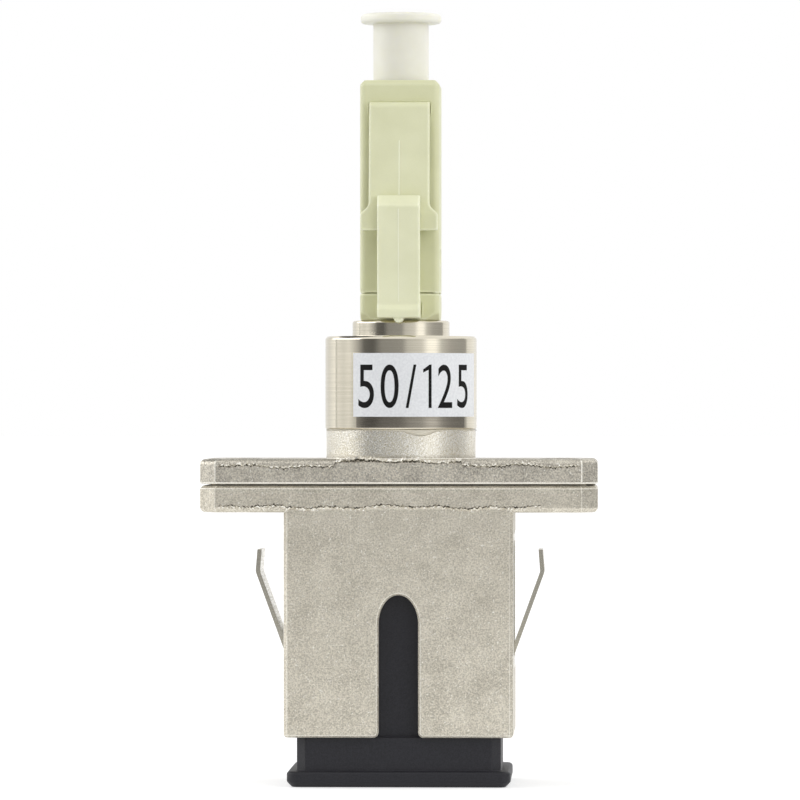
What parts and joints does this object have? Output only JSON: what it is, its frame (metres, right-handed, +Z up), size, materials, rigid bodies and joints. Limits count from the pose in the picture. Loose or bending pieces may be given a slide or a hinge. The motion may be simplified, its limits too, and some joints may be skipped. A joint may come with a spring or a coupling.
{
  "type": "hybrid fibre adapter",
  "caption": "Fibre adapter that joins a small latched plug with a capped ferrule to a push-pull socket, in a cast metal body with a panel flange, clip wings and a dust plug.",
  "frame": {"origin": "centre of the dust plug's foot, on the fibre axis", "axes": "+Z up the fibre axis from the socket to the plug, +X along the flange, keyway, latch and trigger to -Y"},
  "size_m": [0.0224, 0.0094, 0.0437],
  "materials": {
    "black_plastic": "satin moulded",
    "cast_nickel": "nickel plate on a grainy casting",
    "turned_nickel": "nickel plate, turned",
    "spring_steel": "spring sheet and wire",
    "insert_plastic": "moulded",
    "zirconia": "polished",
    "plated_brass": "nickel plate",
    "glass_fibre": "clear",
    "label_paper": "matt white",
    "beige_plastic": "satin moulded",
    "cap_plastic": "translucent moulded"
  },
  "bodies": {
    "adapter": {"socket_housing": "cast_nickel", "neck_housing": "cast_nickel", "collar": "turned_nickel", "flange_bushes": "turned_nickel", "panel_clip": "spring_steel", "ferrule_spring": "spring_steel", "hook_insert": "insert_plastic", "split_sleeve": "zirconia", "label": "label_paper", "plug_rear_housing": "beige_plastic", "plug_front_housing": "beige_plastic"},
    "ferrule": {"socket_ferrule": "zirconia", "socket_ferrule_holder": "plated_brass", "plug_ferrule": "zirconia", "plug_ferrule_holder": "plated_brass", "fibre": "glass_fibre"},
    "cap": {"ferrule_cap": "cap_plastic"},
    "dust_plug": {"dust_plug": "black_plastic"},
    "trigger": {"release_trigger": "beige_plastic"},
    "latch": {"plug_latch": "beige_plastic"},
    "wing_left": {"clip_wing_left": "spring_steel"},
    "wing_right": {"clip_wing_right": "spring_steel"},
    "hook_left": {"socket_hook_left": "insert_plastic"},
    "hook_right": {"socket_hook_right": "insert_plastic"}
  },
  "joints": [
    {"name": "ferrule_float", "type": "slide", "parent": "adapter", "child": "ferrule", "axis": [0, 0, -1], "range_m": [0, 0.0008], "stiffness_N_per_m": 400, "springref_m": -0.002, "deforming": ["ferrule_spring"]},
    {"name": "cap_pull", "type": "slide", "parent": "ferrule", "child": "cap", "axis": [0, 0, 1], "range_m": [0, 0.008]},
    {"name": "dust_plug_pull", "type": "slide", "parent": "adapter", "child": "dust_plug", "axis": [0, 0, -1], "range_m": [0, 0.014]},
    {"name": "trigger_press", "type": "hinge", "parent": "adapter", "child": "trigger", "pos_m": [0, -0.00255, 0.02687], "axis": [-1, 0, 0], "range_deg": [0, 3.5], "stiffness_Nm_per_rad": 0.01},
    {"name": "latch_flex", "type": "hinge", "parent": "adapter", "child": "latch", "pos_m": [0, -0.0024, 0.0382], "axis": [1, 0, 0], "range_deg": [0, 4.55], "stiffness_Nm_per_rad": 0.01},
    {"name": "wing_left_press", "type": "hinge", "parent": "adapter", "child": "wing_left", "pos_m": [-0.00633, 0, 0.0073], "axis": [0, 1, 0], "range_deg": [0, 19], "stiffness_Nm_per_rad": 0.01},
    {"name": "wing_right_press", "type": "hinge", "parent": "adapter", "child": "wing_right", "pos_m": [0.00633, 0, 0.0073], "axis": [0, -1, 0], "range_deg": [0, 19], "stiffness_Nm_per_rad": 0.01},
    {"name": "hook_left_open", "type": "hinge", "parent": "adapter", "child": "hook_left", "pos_m": [-0.00317, 0, 0.0136], "axis": [0, 1, 0], "range_deg": [0, 6], "stiffness_Nm_per_rad": 0.01},
    {"name": "hook_right_open", "type": "hinge", "parent": "adapter", "child": "hook_right", "pos_m": [0.00317, 0, 0.0136], "axis": [0, -1, 0], "range_deg": [0, 6], "stiffness_Nm_per_rad": 0.01}
  ],
  "couplings": [
    {"joint": "latch_flex", "follows": "trigger_press", "ratio": 1.2857}
  ]
}
